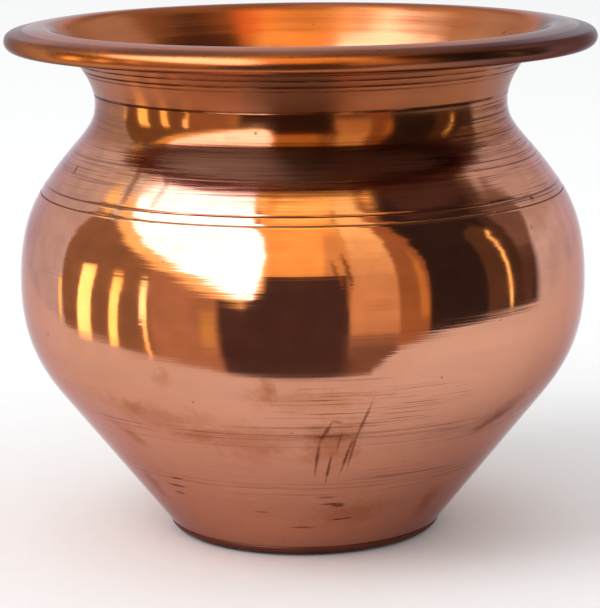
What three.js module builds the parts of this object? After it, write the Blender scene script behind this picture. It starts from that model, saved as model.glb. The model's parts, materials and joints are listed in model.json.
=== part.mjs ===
import * as THREE from 'three';

// Kalash: a small copper water vessel, spun from sheet in three pieces and brazed at two lapped
// seams. Millimetres, +Z up. The origin is on the axis, on the surface that the vessel stands on.

// Copper sheet
const WALL = 0.7;

// Brazed lap: the lower piece is joggled inwards into a collar that sits under the piece above it
const LAP_LENGTH = 4;
const BRAZE_FILM = 0.15;
const BRAZE_FIT = 0.05;
const BRAZE_FILLET = 1;
const JOGGLE_LENGTH = 1.6;
const SEAM_GAP = 0.35;
const SEAM_DEPTH = 0.2;

// Base: radius at the crease above the rounded edge, and the size of that edge
const FOOT_RADIUS = 24;
const BASE_ROUND_WIDTH = 3.1;
const BASE_ROUND_HEIGHT = 1.9;

// Straight taper from the base to the belly
const TAPER_RISE = 23.7;
const TAPER_INSET = 6.5;

// Belly, at its widest
const BELLY_RADIUS = 49.25;
const BELLY_RISE = 18.7;

// Shoulder seam: how far it lies inside the belly's radius and above its widest place
const SHOULDER_INSET = 3.95;
const SHOULDER_RISE = 16.2;
const SHOULDER_LEAN = THREE.MathUtils.degToRad(-32.8);

// Scribed line that runs beside the shoulder seam
const SCRIBE_SPACING = 1.75;
const SCRIBE_WIDTH = 0.4;
const SCRIBE_DEPTH = 0.15;

// Neck, at its narrowest
const NECK_RADIUS = 35.7;
const NECK_RISE = 14.9;

// Mouth: a straight flare, a bend at the crown, a drooping lip and an edge rolled round a wire
const MOUTH_RADIUS = 51;
const MOUTH_RISE = 13.3;
const CROWN_INSET = 6.6;
const CROWN_BEND_RADIUS = 2.4;
const FLARE_LEAN = THREE.MathUtils.degToRad(41.6);
const FLARE_STRAIGHT = 3.5;
const DROOP_RADIUS = 20;
const WIRE_RADIUS = 0.7;
const WIRE_CLEARANCE = 0.15;
const ROLL_GAP = 0.2;

// How strongly each curved stretch leaves its lower end and arrives at its upper end, as parts of
// the straight distance between the two
const LOWER_BELLY_EASE = [0.31, 0.45];
const UPPER_BELLY_EASE = [0.52, 0.22];
const SHOULDER_EASE = [0.57, 0.28];
const NECK_EASE = [0.28, 0.5];

// Facets round the axis and round the wire, and steps along each stretch of the outline
const TURN_FACETS = 56;
const WIRE_FACETS = 8;
const BASE_ROUND_STEPS = 5;
const WALL_STEPS = {
  taper: 1,
  taperLap: 1,
  lowerBelly: 6,
  upperBelly: 5,
  shoulder: 5,
  shoulderLap: 2,
  shoulderAboveLap: 3,
  neck: 5,
  flare: 1,
  crownBend: 3,
  droop: 2,
  rollOver: 4,
  rollUnder: 9,
};

// Stations up the outline
const UPRIGHT = 0;
const QUARTER_TURN = Math.PI / 2;
const foot = new THREE.Vector2(FOOT_RADIUS, BASE_ROUND_HEIGHT);
const taperTop = new THREE.Vector2(BELLY_RADIUS - TAPER_INSET, foot.y + TAPER_RISE);
const belly = new THREE.Vector2(BELLY_RADIUS, taperTop.y + BELLY_RISE);
const shoulderSeam = new THREE.Vector2(BELLY_RADIUS - SHOULDER_INSET, belly.y + SHOULDER_RISE);
const neckWaist = new THREE.Vector2(NECK_RADIUS, shoulderSeam.y + NECK_RISE);
const crown = new THREE.Vector2(MOUTH_RADIUS - CROWN_INSET, neckWaist.y + MOUTH_RISE);
const taperLean = Math.atan2(taperTop.x - foot.x, taperTop.y - foot.y);

/** Unit direction that leans outwards from straight up by an angle. */
function heading(lean) {
  return new THREE.Vector2(Math.sin(lean), Math.cos(lean));
}

/** Smooth stretch of the outline between two stations, with its lean at each of them. */
function easedCurve(start, startLean, end, endLean, [leave, arrive]) {
  const chord = start.distanceTo(end);
  const first = start.clone().addScaledVector(heading(startLean), leave * chord);
  const second = end.clone().addScaledVector(heading(endLean), -arrive * chord);
  return new THREE.CubicBezierCurve(start, first, second, end);
}

/** Clockwise arc in the profile plane, with both angles measured from straight up. */
function clockwiseArc(centre, radius, startTurn, endTurn) {
  const start = QUARTER_TURN - startTurn;
  const end = QUARTER_TURN - endTurn;
  return new THREE.ArcCurve(centre.x, centre.y, radius, start, end, true);
}

/** Sizes of the rolled edge: its radii, its centre and the turns where the roll starts and ends. */
function rolledEdge() {
  const innerRadius = WIRE_RADIUS + WIRE_CLEARANCE;
  const outerRadius = innerRadius + WALL;
  const droopCentre = new THREE.Vector2(crown.x, crown.y - DROOP_RADIUS);
  const reach = DROOP_RADIUS - outerRadius;
  const startTurn = Math.asin((MOUTH_RADIUS - outerRadius - crown.x) / reach);
  const centre = droopCentre.clone().addScaledVector(heading(startTurn), reach);
  const limit = DROOP_RADIUS - WALL - ROLL_GAP;
  const closing = (limit ** 2 - reach ** 2 - outerRadius ** 2) / (2 * reach * outerRadius);
  const endTurn = startTurn + 2 * Math.PI - Math.acos(closing);
  return { innerRadius, outerRadius, droopCentre, centre, startTurn, endTurn };
}

/** Outer face of the whole wall, as curves from the base crease to the end of the rolled edge. */
function outline() {
  const roll = rolledEdge();
  const bendCentre = new THREE.Vector2(crown.x, crown.y - WALL - CROWN_BEND_RADIUS);
  const bendStart = FLARE_LEAN - QUARTER_TURN;
  const flareTop = bendCentre.clone().addScaledVector(heading(bendStart), CROWN_BEND_RADIUS);
  const flareFoot = flareTop.clone().addScaledVector(heading(FLARE_LEAN), -FLARE_STRAIGHT);
  return {
    taper: new THREE.LineCurve(foot, taperTop),
    lowerBelly: easedCurve(taperTop, taperLean, belly, UPRIGHT, LOWER_BELLY_EASE),
    upperBelly: easedCurve(belly, UPRIGHT, shoulderSeam, SHOULDER_LEAN, UPPER_BELLY_EASE),
    shoulder: easedCurve(shoulderSeam, SHOULDER_LEAN, neckWaist, UPRIGHT, SHOULDER_EASE),
    neck: easedCurve(neckWaist, UPRIGHT, flareFoot, FLARE_LEAN, NECK_EASE),
    flare: new THREE.LineCurve(flareFoot, flareTop),
    crownBend: clockwiseArc(bendCentre, CROWN_BEND_RADIUS, bendStart, 0),
    droop: clockwiseArc(roll.droopCentre, DROOP_RADIUS - WALL, 0, roll.startTurn),
    rollOver: clockwiseArc(roll.centre, roll.innerRadius, roll.startTurn, QUARTER_TURN),
    rollUnder: clockwiseArc(roll.centre, roll.innerRadius, QUARTER_TURN, roll.endTurn),
  };
}

/** Point beside a curve: a distance along it, straight on past its ends, and an outward offset. */
function pointBeside(curve, distance, offset) {
  const length = curve.getLength();
  const within = THREE.MathUtils.clamp(distance, 0, length);
  const along = curve.getTangentAt(within / length);
  const outward = new THREE.Vector2(along.y, -along.x);
  return curve
    .getPointAt(within / length)
    .addScaledVector(along, distance - within)
    .addScaledVector(outward, offset);
}

/** Points of one face of the sheet beside a curve, in equal steps between two distances. */
function faceAlong(curve, offset, steps, from = 0, to = curve.getLength()) {
  return Array.from({ length: steps + 1 }, (_, step) =>
    pointBeside(curve, THREE.MathUtils.lerp(from, to, step / steps), offset),
  );
}

/** One face of the sheet along named stretches of the wall, offset outwards from its outer face. */
function wallFace(wall, names, offset) {
  return joinRuns(...names.map((name) => faceAlong(wall[name], offset, WALL_STEPS[name])));
}

/** Joins runs of points and leaves out a point that repeats the one before it. */
function joinRuns(...runs) {
  const tiny = 1e-6;
  const points = runs.flat();
  return points.filter((point, i) => i === 0 || point.distanceTo(points[i - 1]) > tiny);
}

/** Shallow V-shaped line cut into the outer face, centred a distance along a curve. */
function scribedLine(curve, distance) {
  return [
    pointBeside(curve, distance - SCRIBE_WIDTH / 2, 0),
    pointBeside(curve, distance, -SCRIBE_DEPTH),
    pointBeside(curve, distance + SCRIBE_WIDTH / 2, 0),
  ];
}

/** Offsets of a collar's two faces, inwards from the outer face of the wall. */
function collarOffsets() {
  const outer = -(WALL + 2 * BRAZE_FIT + BRAZE_FILM);
  return { outer, inner: outer - WALL };
}

/** Collar of a lower piece, from the step in its outer face up and over to the collar's inside. */
function collarRun(curve, steps) {
  const { outer, inner } = collarOffsets();
  return [
    pointBeside(curve, -SEAM_GAP, 0),
    ...faceAlong(curve, outer, steps, -SEAM_GAP, LAP_LENGTH),
    ...faceAlong(curve, inner, steps, LAP_LENGTH, -SEAM_GAP),
  ];
}

/** Braze that fills a lap: the line that shows in the seam, the film and the fillet inside. */
function brazeProfile(curve, steps) {
  const collar = collarOffsets();
  const outer = -(WALL + BRAZE_FIT);
  const inner = collar.outer + BRAZE_FIT;
  const collarEnd = LAP_LENGTH + BRAZE_FIT;
  const seamLow = BRAZE_FIT - SEAM_GAP;
  return [
    pointBeside(curve, seamLow, -SEAM_DEPTH),
    pointBeside(curve, -BRAZE_FIT, -SEAM_DEPTH),
    ...faceAlong(curve, outer, steps, -BRAZE_FIT, LAP_LENGTH),
    pointBeside(curve, collarEnd + BRAZE_FILLET, outer),
    pointBeside(curve, collarEnd, collar.inner),
    ...faceAlong(curve, inner, steps, collarEnd, seamLow),
  ];
}

/** Turns a profile of points (radius, height) about the vertical axis. */
function turned(profile) {
  const geometry = new THREE.LatheGeometry(profile, TURN_FACETS);
  geometry.rotateX(Math.PI / 2);
  return geometry;
}

/** Closes a profile on itself, for a ring-shaped piece. */
function closedProfile(points) {
  return [...points, points[0].clone()];
}

/** Inner face of the shoulder: it bends where the braze and the collar under it bend. */
function shoulderInside(curve) {
  const filletEnd = LAP_LENGTH + BRAZE_FIT + BRAZE_FILLET;
  return joinRuns(
    faceAlong(curve, -WALL, WALL_STEPS.shoulderLap, 0, LAP_LENGTH),
    faceAlong(curve, -WALL, WALL_STEPS.shoulderAboveLap, filletEnd),
  );
}

/** Upper shell: outer face up to the end of the roll, then the mouth side back to the seam. */
function mouthAndNeckShell(wall) {
  const scribeEnd = SCRIBE_SPACING + SCRIBE_WIDTH / 2;
  const aboveShoulder = ['neck', 'flare', 'crownBend', 'droop', 'rollOver', 'rollUnder'];
  const outside = joinRuns(
    [pointBeside(wall.shoulder, 0, 0)],
    scribedLine(wall.shoulder, SCRIBE_SPACING),
    faceAlong(wall.shoulder, 0, WALL_STEPS.shoulder, scribeEnd).slice(1),
    wallFace(wall, aboveShoulder, 0),
  );
  const inside = joinRuns(shoulderInside(wall.shoulder), wallFace(wall, aboveShoulder, -WALL));
  return turned(closedProfile([...outside, ...inside.reverse()]));
}

/** Lower shell: taper, belly and lower shoulder, with the collar that the upper shell sits on. */
function bellyShell(wall) {
  const steps = WALL_STEPS.upperBelly;
  const seamStart = wall.upperBelly.getLength() - SEAM_GAP;
  const joggleStart = seamStart - JOGGLE_LENGTH;
  const outside = joinRuns(
    wallFace(wall, ['taper', 'lowerBelly'], 0),
    faceAlong(wall.upperBelly, 0, steps, 0, seamStart).slice(0, -1),
  );
  const inside = joinRuns(
    wallFace(wall, ['taper', 'lowerBelly'], -WALL),
    faceAlong(wall.upperBelly, -WALL, steps, 0, joggleStart),
  );
  const collar = collarRun(wall.shoulder, WALL_STEPS.shoulderLap);
  return turned(closedProfile([...outside, ...collar, ...inside.reverse()]));
}

/** Base cap: flat underside, rounded edge up to the crease, collar inside the taper, flat floor. */
function baseDisc(wall) {
  const edgeTop = pointBeside(wall.taper, -SEAM_GAP, 0);
  const flatRadius = FOOT_RADIUS - BASE_ROUND_WIDTH;
  const roundedEdge = new THREE.EllipseCurve(
    flatRadius,
    edgeTop.y,
    edgeTop.x - flatRadius,
    edgeTop.y,
    -QUARTER_TURN,
    0,
  );
  const collar = collarRun(wall.taper, WALL_STEPS.taperLap).slice(1);
  const collarFoot = collar[collar.length - 1];
  const floorRadius = collarFoot.x - (collarFoot.y - WALL) * Math.tan(taperLean);
  const profile = [
    new THREE.Vector2(0, 0),
    ...roundedEdge.getPoints(BASE_ROUND_STEPS),
    ...collar.slice(0, -1),
    new THREE.Vector2(floorRadius, WALL),
    new THREE.Vector2(0, WALL),
  ];
  return turned(profile);
}

/** Wire that stiffens the lip, lying in the roll with an even clearance. */
function rimWire() {
  const { centre } = rolledEdge();
  const geometry = new THREE.TorusGeometry(centre.x, WIRE_RADIUS, WIRE_FACETS, TURN_FACETS);
  return geometry.translate(0, 0, centre.y);
}

/** Named mesh with its own metal finish. */
function metalPiece(name, geometry, color, roughness) {
  const material = new THREE.MeshStandardMaterial({ color, roughness, metalness: 1 });
  const mesh = new THREE.Mesh(geometry, material);
  mesh.name = name;
  return mesh;
}

/** Braze ring of one lap, under the stretch of the wall that starts at the seam. */
function brazeRing(curve, steps) {
  return turned(closedProfile(brazeProfile(curve, steps)));
}

const wall = outline();
const shoulderBraze = brazeRing(wall.shoulder, WALL_STEPS.shoulderLap);
const baseBraze = brazeRing(wall.taper, WALL_STEPS.taperLap);
const kalash = new THREE.Group();
kalash.add(
  metalPiece('mouth_and_neck_shell', mouthAndNeckShell(wall), 0xd48a64, 0.24),
  metalPiece('belly_shell', bellyShell(wall), 0xdc906a, 0.12),
  metalPiece('base_disc', baseDisc(wall), 0xb06c4c, 0.4),
  metalPiece('rim_wire', rimWire(), 0xb87350, 0.45),
  metalPiece('shoulder_seam_braze', shoulderBraze, 0x9a6a44, 0.5),
  metalPiece('base_seam_braze', baseBraze, 0x8c5c3c, 0.55),
);

export default kalash;
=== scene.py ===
"""Looks of a small copper kalash, spun from sheet in three pieces and brazed at two laps.

Sizes in the classes are in millimetres and angles in degrees, and meshes are written in metres.
"""

import json
import logging
import math
from collections.abc import Callable
from dataclasses import dataclass, field
from enum import Enum

import bpy
import numpy as np
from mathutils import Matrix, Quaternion, Vector

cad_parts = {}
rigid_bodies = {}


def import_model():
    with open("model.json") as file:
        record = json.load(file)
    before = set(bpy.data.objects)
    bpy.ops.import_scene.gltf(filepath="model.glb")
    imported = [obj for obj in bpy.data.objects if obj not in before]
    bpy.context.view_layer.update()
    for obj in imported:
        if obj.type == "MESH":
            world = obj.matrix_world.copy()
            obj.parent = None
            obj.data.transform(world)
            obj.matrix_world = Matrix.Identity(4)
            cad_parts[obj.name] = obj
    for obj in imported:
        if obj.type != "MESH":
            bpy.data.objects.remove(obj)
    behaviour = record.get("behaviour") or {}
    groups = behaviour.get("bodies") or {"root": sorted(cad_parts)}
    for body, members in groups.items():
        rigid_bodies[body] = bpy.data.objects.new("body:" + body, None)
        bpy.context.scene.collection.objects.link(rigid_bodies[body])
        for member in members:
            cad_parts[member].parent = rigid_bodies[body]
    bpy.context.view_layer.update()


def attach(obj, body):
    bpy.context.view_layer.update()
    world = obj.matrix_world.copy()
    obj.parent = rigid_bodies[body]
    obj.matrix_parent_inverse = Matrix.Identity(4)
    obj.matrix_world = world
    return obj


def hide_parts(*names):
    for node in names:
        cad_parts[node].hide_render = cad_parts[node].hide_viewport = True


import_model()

log = logging.getLogger("kalash")

MM = 0.001
FULL_TURN = 2 * math.pi
QUARTER_TURN = math.pi / 2
RIGHT_ANGLE = 90.0
DEGREES = 180 / math.pi
LINE_POINTS = 60
CURVE_POINTS = 400
ARC_POINTS = 240
WIRE_POINTS = 25
DISC_POINTS = 24
INSIDE_SPACING = 0.9
COLLAR_SPACING = 0.7

Colour = tuple[float, float, float]
Place = tuple[float, float, float]
Corners = tuple[tuple[float, float], ...]
Point = np.ndarray
Node = bpy.types.Node
Socket = bpy.types.NodeSocket
Value = float | Socket
Tint = Colour | Socket

WHITE = (1.0, 1.0, 1.0)


class Stretch(Enum):
    """Named stretches of the wall's outer face, from the base crease to the end of the roll."""

    TAPER = "taper"
    LOWER_BELLY = "lower belly"
    UPPER_BELLY = "upper belly"
    SHOULDER = "shoulder"
    NECK = "neck"
    FLARE = "flare"
    CROWN_BEND = "crown bend"
    DROOP = "droop"
    ROLL = "roll"


def heading(lean: float) -> Point:
    """Unit direction in the profile plane that leans outwards from straight up, in radians."""
    return np.array([math.sin(lean), math.cos(lean)])


class Curve:
    """A smooth line in the profile plane, measured along its length in millimetres."""

    def __init__(self, points: np.ndarray) -> None:
        """Keeps the points with their distances and directions.

        Args:
            points: radius and height of closely spaced points.
        """
        self.points = points
        runs = np.hypot(*np.diff(points, axis=0).T)
        self.distances = np.concatenate(([0.0], np.cumsum(runs)))
        slopes = np.gradient(points, self.distances, axis=0)
        self.directions = slopes / np.hypot(*slopes.T)[:, None]

    @property
    def length(self) -> float:
        """Whole length of the curve."""
        return float(self.distances[-1])

    def _read(self, table: np.ndarray, distance: float) -> Point:
        """One row of a table of the curve, at a distance along it."""
        return np.array([np.interp(distance, self.distances, column) for column in table.T])

    def beside(self, distance: float, offset: float) -> Point:
        """Finds a point beside the curve.

        Args:
            distance: how far along the curve, which runs on straight past both ends.
            offset: how far to the outer side of it.

        Returns:
            Radius and height of the point.
        """
        within = min(max(distance, 0.0), self.length)
        along = self._read(self.directions, within)
        along = along / np.hypot(*along)
        outward = np.array([along[1], -along[0]])
        return self._read(self.points, within) + along * (distance - within) + outward * offset


def straight(start: Point, end: Point) -> np.ndarray:
    """Points of a straight line."""
    share = np.linspace(0, 1, LINE_POINTS)[:, None]
    return start + (end - start) * share


def eased(
    start: Point,
    start_lean: float,
    end: Point,
    end_lean: float,
    ease: tuple[float, float],
) -> np.ndarray:
    """Points of a curve between two stations.

    Args:
        start: lower station.
        start_lean: lean of the curve there, in radians.
        end: upper station.
        end_lean: lean of the curve there, in radians.
        ease: how strongly it leaves and arrives, as parts of the straight distance.

    Returns:
        Closely spaced points.
    """
    chord = np.hypot(*(end - start))
    first = start + heading(start_lean) * ease[0] * chord
    second = end - heading(end_lean) * ease[1] * chord
    t = np.linspace(0, 1, CURVE_POINTS)[:, None]
    return (1 - t) ** 3 * start + 3 * (1 - t) ** 2 * t * first + 3 * (1 - t) * t**2 * second + t**3 * end


def arc(centre: Point, radius: float, start_turn: float, end_turn: float) -> np.ndarray:
    """Points of an arc, whose turns are measured from straight up towards the outside."""
    turn = np.linspace(start_turn, end_turn, ARC_POINTS)
    return centre + radius * np.stack([np.sin(turn), np.cos(turn)], axis=1)


@dataclass
class Wall:
    """The sheet wall of the vessel: its sizes and the outline of its outer face."""

    thickness: float = 0.7
    foot_radius: float = 24.0
    base_round_width: float = 3.1
    base_round_height: float = 1.9
    taper_rise: float = 23.7
    taper_inset: float = 6.5
    belly_radius: float = 49.25
    belly_rise: float = 18.7
    shoulder_inset: float = 3.95
    shoulder_rise: float = 16.2
    shoulder_lean: float = -32.8
    neck_radius: float = 35.7
    neck_rise: float = 14.9
    mouth_radius: float = 51.0
    mouth_rise: float = 13.3
    crown_inset: float = 6.6
    crown_bend_radius: float = 2.4
    flare_lean: float = 41.6
    flare_straight: float = 3.5
    droop_radius: float = 20.0
    wire_radius: float = 0.7
    wire_clearance: float = 0.15
    roll_gap: float = 0.2
    lower_belly_ease: tuple[float, float] = (0.31, 0.45)
    upper_belly_ease: tuple[float, float] = (0.52, 0.22)
    shoulder_ease: tuple[float, float] = (0.57, 0.28)
    neck_ease: tuple[float, float] = (0.28, 0.5)
    taper_lean: float = field(init=False)
    crown: Point = field(init=False)
    roll_centre: Point = field(init=False)
    outline: Curve = field(init=False)
    starts: dict[Stretch, float] = field(init=False)

    def __post_init__(self) -> None:
        """Draws the outline from the sizes, and notes where each stretch starts."""
        runs = self._runs()
        self.starts = {}
        length = 0.0
        for stretch, points in runs.items():
            self.starts[stretch] = length
            length += Curve(points).length
        joined = np.vstack([points[:-1] for points in runs.values()] + [runs[Stretch.ROLL][-1:]])
        self.outline = Curve(joined)

    def _runs(self) -> dict[Stretch, np.ndarray]:
        """Draws each stretch of the outer face.

        Returns:
            Points of the stretches, in order from the base crease.
        """
        foot = np.array([self.foot_radius, self.base_round_height])
        taper_top = np.array([self.belly_radius - self.taper_inset, foot[1] + self.taper_rise])
        belly = np.array([self.belly_radius, taper_top[1] + self.belly_rise])
        seam = np.array([self.belly_radius - self.shoulder_inset, belly[1] + self.shoulder_rise])
        waist = np.array([self.neck_radius, seam[1] + self.neck_rise])
        crown = np.array([self.mouth_radius - self.crown_inset, waist[1] + self.mouth_rise])
        self.crown = crown
        self.taper_lean = math.atan2(taper_top[0] - foot[0], taper_top[1] - foot[1])
        shoulder_lean = math.radians(self.shoulder_lean)
        flare_lean = math.radians(self.flare_lean)

        bend_centre = crown - (0, self.thickness + self.crown_bend_radius)
        bend_start = flare_lean - QUARTER_TURN
        flare_top = bend_centre + heading(bend_start) * self.crown_bend_radius
        flare_foot = flare_top - heading(flare_lean) * self.flare_straight

        roll_inside = self.wire_radius + self.wire_clearance
        roll_outside = roll_inside + self.thickness
        droop_centre = crown - (0, self.droop_radius)
        reach = self.droop_radius - roll_outside
        roll_start = math.asin((self.mouth_radius - roll_outside - crown[0]) / reach)
        self.roll_centre = droop_centre + heading(roll_start) * reach
        limit = self.droop_radius - self.thickness - self.roll_gap
        closing = (limit**2 - reach**2 - roll_outside**2) / (2 * reach * roll_outside)
        roll_end = roll_start + FULL_TURN - math.acos(closing)
        return {
            Stretch.TAPER: straight(foot, taper_top),
            Stretch.LOWER_BELLY: eased(taper_top, self.taper_lean, belly, 0, self.lower_belly_ease),
            Stretch.UPPER_BELLY: eased(belly, 0, seam, shoulder_lean, self.upper_belly_ease),
            Stretch.SHOULDER: eased(seam, shoulder_lean, waist, 0, self.shoulder_ease),
            Stretch.NECK: eased(waist, 0, flare_foot, flare_lean, self.neck_ease),
            Stretch.FLARE: straight(flare_foot, flare_top),
            Stretch.CROWN_BEND: arc(bend_centre, self.crown_bend_radius, bend_start, 0),
            Stretch.DROOP: arc(droop_centre, self.droop_radius - self.thickness, 0, roll_start),
            Stretch.ROLL: arc(self.roll_centre, roll_inside, roll_start, roll_end),
        }

    def distance_at(self, height: float) -> float:
        """Distance along the outline at which it reaches a height below the crown."""
        rising = self.outline.distances <= self.starts[Stretch.CROWN_BEND]
        return float(np.interp(height, self.outline.points[rising, 1], self.outline.distances[rising]))


@dataclass(frozen=True)
class TurnedLine:
    """A fine line turned into the outer face."""

    height: float
    width: float
    depth: float


@dataclass(frozen=True)
class Ripple:
    """Low waves that the spinning tool leaves along the wall."""

    depth: float
    lengths: tuple[float, ...]
    seed: int

    def offset(self, distance: float) -> float:
        """Adds up the waves at one place.

        Args:
            distance: how far along the wall.

        Returns:
            Height of the waves, from minus the depth up to 0.
        """
        rng = np.random.default_rng(self.seed)
        phases = rng.uniform(0, FULL_TURN, len(self.lengths))
        waves = [
            math.sin(FULL_TURN * distance / length + phase) - 1
            for length, phase in zip(self.lengths, phases)
        ]
        return self.depth * sum(waves) / (2 * len(waves))


@dataclass
class Face:
    """One face of the sheet, as a run of points between two distances along the wall."""

    wall: Wall
    start: float
    end: float
    offset: float = 0.0
    spacing: float = 0.4
    lines: tuple[TurnedLine, ...] = ()
    ripple: Ripple | None = None
    ripple_start: float = 2.0
    line_points: int = 9
    line_reach: float = 1.2

    def points(self) -> list[Point]:
        """Draws the face, with its points closer together where a line is turned into it.

        Returns:
            Radius and height of each point.
        """
        steps = max(1, round((self.end - self.start) / self.spacing))
        stations = set(np.linspace(self.start, self.end, steps + 1))
        for line in self.lines:
            middle = self.wall.distance_at(line.height)
            if self.start < middle - line.width < middle + line.width < self.end:
                near = {s for s in stations if abs(s - middle) < line.width * self.line_reach}
                across = np.linspace(-1, 1, self.line_points)
                stations = (stations - near) | set(middle + line.width * across)
        return [self.wall.outline.beside(s, self._depth(s)) for s in sorted(stations)]

    def _depth(self, distance: float) -> float:
        """Works out how far the face is from the outline, with its lines and its ripple.

        Args:
            distance: how far along the wall.

        Returns:
            Offset to the outer side of the outline.
        """
        depth = self.offset
        for line in self.lines:
            across = (distance - self.wall.distance_at(line.height)) / (line.width / 2)
            depth -= line.depth * math.exp(-(across**2))
        if self.ripple:
            from_ends = min(distance - self.start, self.end - distance)
            fade = min(1.0, from_ends / self.ripple_start)
            depth += self.ripple.offset(distance) * max(0.0, fade)
        return depth


@dataclass(frozen=True)
class Lap:
    """The brazed lap of two pieces: a joggled collar under the piece above it."""

    length: float = 4.0
    film: float = 0.15
    fit: float = 0.05
    fillet: float = 1.0
    joggle: float = 1.6
    gap: float = 0.2
    seam_depth: float = 0.07
    hollow_height_share: float = 0.32
    hollow_depth_share: float = 0.45

    def collar_faces(self, wall: Wall) -> tuple[float, float]:
        """Offsets of the collar's outer and inner face."""
        outer = -(wall.thickness + 2 * self.fit + self.film)
        return outer, outer - wall.thickness


# Modelling


def deselect() -> None:
    """Leaves nothing selected."""
    for piece in bpy.context.view_layer.objects:
        piece.select_set(False)


@dataclass
class Spinner:
    """Spins a profile about the vertical axis, as on a lathe."""

    segments: int = 256
    sharp_corner: float = 35.0
    smooth_angle: float = 32.0
    merge_distance: float = 0.001
    rounding_steps: int = 3

    def spin(self, name: str, profile: list[Point], edge_round: float = 0.0) -> bpy.types.Object:
        """Makes a closed piece from its profile.

        Args:
            name: name of the piece.
            profile: radius and height of its corners, closed on itself or on the axis.
            edge_round: size of the rounding at sharp corners of the sheet.

        Returns:
            The piece, with its place in its mesh.
        """
        path = [np.array([p[0], 0.0, p[1]]) * MM for p in profile]
        deselect()
        bpy.ops.mesh.primitive_plane_add(size=MM)
        piece = bpy.context.object
        piece.name = piece.data.name = name
        bpy.ops.object.mode_set(mode="EDIT")
        bpy.ops.mesh.select_all(action="SELECT")
        bpy.ops.mesh.merge(type="CENTER")
        bpy.ops.transform.translate(value=path[0])
        for here, there in zip(path, path[1:]):
            bpy.ops.mesh.extrude_region_move(TRANSFORM_OT_translate={"value": there - here})
        bpy.ops.mesh.select_all(action="SELECT")
        bpy.ops.mesh.remove_doubles(threshold=self.merge_distance * MM)
        if edge_round:
            self._round_corners(piece, edge_round)
        bpy.ops.mesh.select_all(action="SELECT")
        bpy.ops.mesh.spin(steps=self.segments, angle=FULL_TURN, center=(0, 0, 0), axis=(0, 0, 1))
        bpy.ops.mesh.select_all(action="SELECT")
        bpy.ops.mesh.remove_doubles(threshold=self.merge_distance * MM)
        bpy.ops.mesh.normals_make_consistent(inside=False)
        bpy.ops.object.mode_set(mode="OBJECT")
        bpy.ops.object.shade_smooth_by_angle(angle=math.radians(self.smooth_angle))
        return piece

    def _round_corners(self, piece: bpy.types.Object, size: float) -> None:
        """Rounds the profile's sharp corners that are off the axis.

        Args:
            piece: the profile, in edit mode.
            size: size of the rounding.
        """
        bpy.ops.object.mode_set(mode="OBJECT")
        mesh = piece.data
        joined: dict[int, list[int]] = {}
        for edge in mesh.edges:
            for one, other in (edge.vertices, reversed(edge.vertices)):
                joined.setdefault(one, []).append(other)
        for item in (*mesh.vertices, *mesh.edges):
            item.select = False
        for corner, ends in joined.items():
            here = mesh.vertices[corner].co
            if len(ends) == 2:
                before, after = (mesh.vertices[e].co - here for e in ends)
                turn = math.degrees(math.pi - before.angle(after))
                mesh.vertices[corner].select = turn > self.sharp_corner
        bpy.ops.object.mode_set(mode="EDIT")
        bpy.ops.mesh.bevel(offset=size * MM, segments=self.rounding_steps, affect="VERTICES")


# Finishes


@dataclass(frozen=True)
class Grain:
    """Noise of a face: its cells to a unit of length, its detail and the roughness of that."""

    cells: float
    detail: float = 3.0
    rough: float = 0.55


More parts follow.
